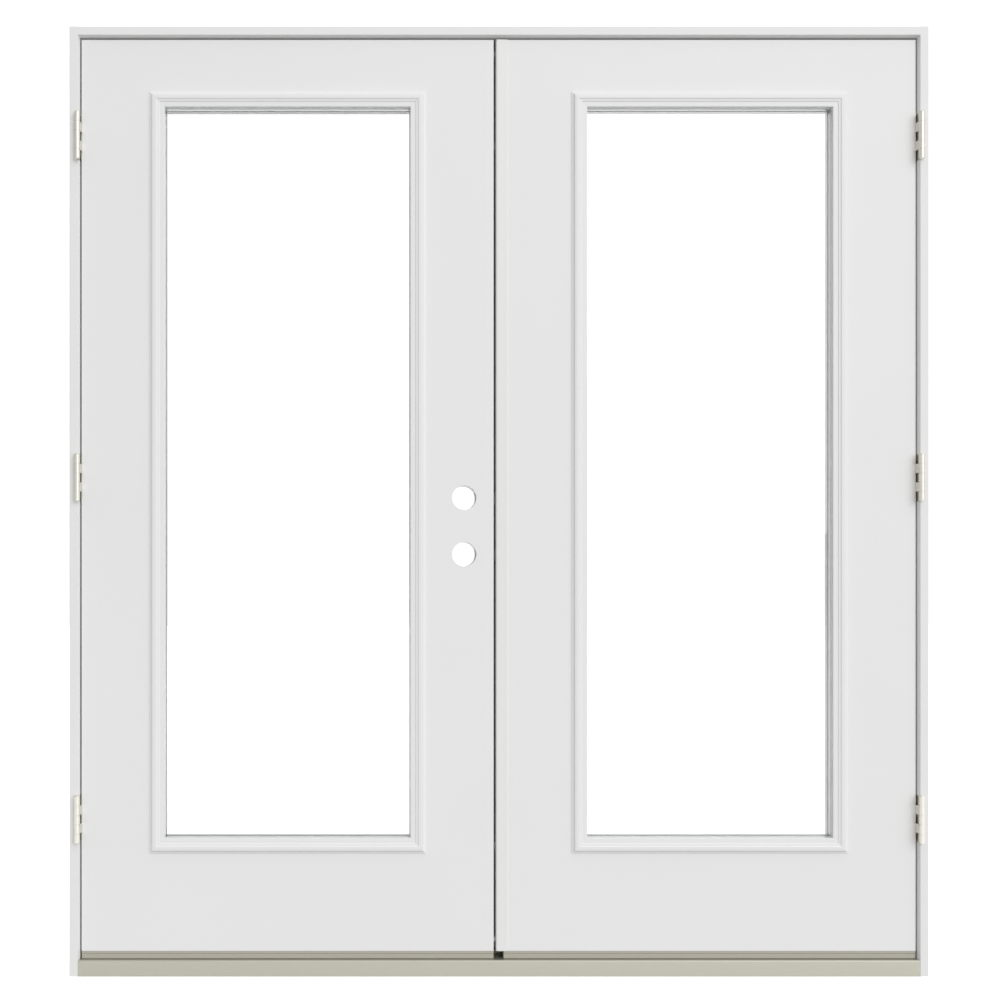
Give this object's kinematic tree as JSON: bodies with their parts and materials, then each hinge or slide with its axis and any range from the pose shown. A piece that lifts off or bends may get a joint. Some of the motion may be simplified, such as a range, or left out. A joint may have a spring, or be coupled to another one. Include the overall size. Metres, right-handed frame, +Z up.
{
  "type": "glazed double door",
  "caption": "Pair of hinged, fully glazed outward-opening doors in their own frame, with threshold, astragal and bolts.",
  "frame": {"origin": "on the floor under the threshold, at the middle of the frame's width and of the jambs' depth", "axes": "+Z up; +Y through the frame from outside to the room; +X to the right seen from outside"},
  "size_m": [1.89, 0.1293, 2.09],
  "materials": {
    "painted_wood": "smooth white paint",
    "painted_leaf": "smooth fibreglass skin, white satin paint",
    "painted_astragal": "white enamel",
    "glazing_frame": "moulded white, low gloss",
    "glass": "clear float glass",
    "spacer": "mill",
    "sweep": "beige vinyl",
    "threshold_cover": "beige coating, satin",
    "threshold_core": "bare softwood",
    "bumper": "soft vinyl",
    "seal": "foam with a soft bronze skin",
    "steel_screws": "zinc plated",
    "hinge_metal": "satin nickel plate"
  },
  "bodies": {
    "frame": {"head_jamb": "painted_wood", "left_jamb": "painted_wood", "right_jamb": "painted_wood", "sill_core": "threshold_core", "riser_core": "threshold_core", "sill_cover": "threshold_cover", "sill_seal": "bumper", "head_seal": "seal", "left_jamb_seal": "seal", "right_jamb_seal": "seal", "left_lower_jamb_plate": "hinge_metal", "left_lower_hinge_pin": "hinge_metal", "left_middle_jamb_plate": "hinge_metal", "left_middle_hinge_pin": "hinge_metal", "left_upper_jamb_plate": "hinge_metal", "left_upper_hinge_pin": "hinge_metal", "left_jamb_screws": "hinge_metal", "right_lower_jamb_plate": "hinge_metal", "right_lower_hinge_pin": "hinge_metal", "right_middle_jamb_plate": "hinge_metal", "right_middle_hinge_pin": "hinge_metal", "right_upper_jamb_plate": "hinge_metal", "right_upper_hinge_pin": "hinge_metal", "right_jamb_screws": "hinge_metal"},
    "left_door": {"left_leaf": "painted_leaf", "left_leaf_sweep": "sweep", "left_glazing_front": "glazing_frame", "left_glazing_back": "glazing_frame", "left_glazing_screws": "steel_screws", "left_screw_plugs": "glazing_frame", "left_outer_pane": "glass", "left_inner_pane": "glass", "left_glass_spacer": "spacer", "left_hinge_screws": "hinge_metal", "left_lower_leaf_plate": "hinge_metal", "left_middle_leaf_plate": "hinge_metal", "left_upper_leaf_plate": "hinge_metal"},
    "right_door": {"right_leaf": "painted_leaf", "right_leaf_sweep": "sweep", "right_glazing_front": "glazing_frame", "right_glazing_back": "glazing_frame", "right_glazing_screws": "steel_screws", "right_screw_plugs": "glazing_frame", "right_outer_pane": "glass", "right_inner_pane": "glass", "right_glass_spacer": "spacer", "right_hinge_screws": "hinge_metal", "right_lower_leaf_plate": "hinge_metal", "right_middle_leaf_plate": "hinge_metal", "right_upper_leaf_plate": "hinge_metal", "astragal": "painted_astragal", "astragal_stop": "painted_astragal", "astragal_seal": "seal", "lock_strike": "hinge_metal", "deadbolt_strike": "hinge_metal"},
    "head_bolt": {"head_bolt": "hinge_metal"},
    "foot_bolt": {"foot_bolt": "hinge_metal"}
  },
  "joints": [
    {"name": "left_door_hinge", "type": "hinge", "parent": "frame", "child": "left_door", "pos_m": [-0.9268, -0.0648, 0], "axis": [0, 0, 1], "range_deg": [-170, 0]},
    {"name": "right_door_hinge", "type": "hinge", "parent": "frame", "child": "right_door", "pos_m": [0.9268, -0.0648, 0], "axis": [0, 0, 1], "range_deg": [0, 170]},
    {"name": "head_bolt_slide", "type": "slide", "parent": "right_door", "child": "head_bolt", "axis": [0, 0, 1], "range_m": [0, 0.018]},
    {"name": "foot_bolt_slide", "type": "slide", "parent": "right_door", "child": "foot_bolt", "axis": [0, 0, -1], "range_m": [0, 0.03]}
  ]
}
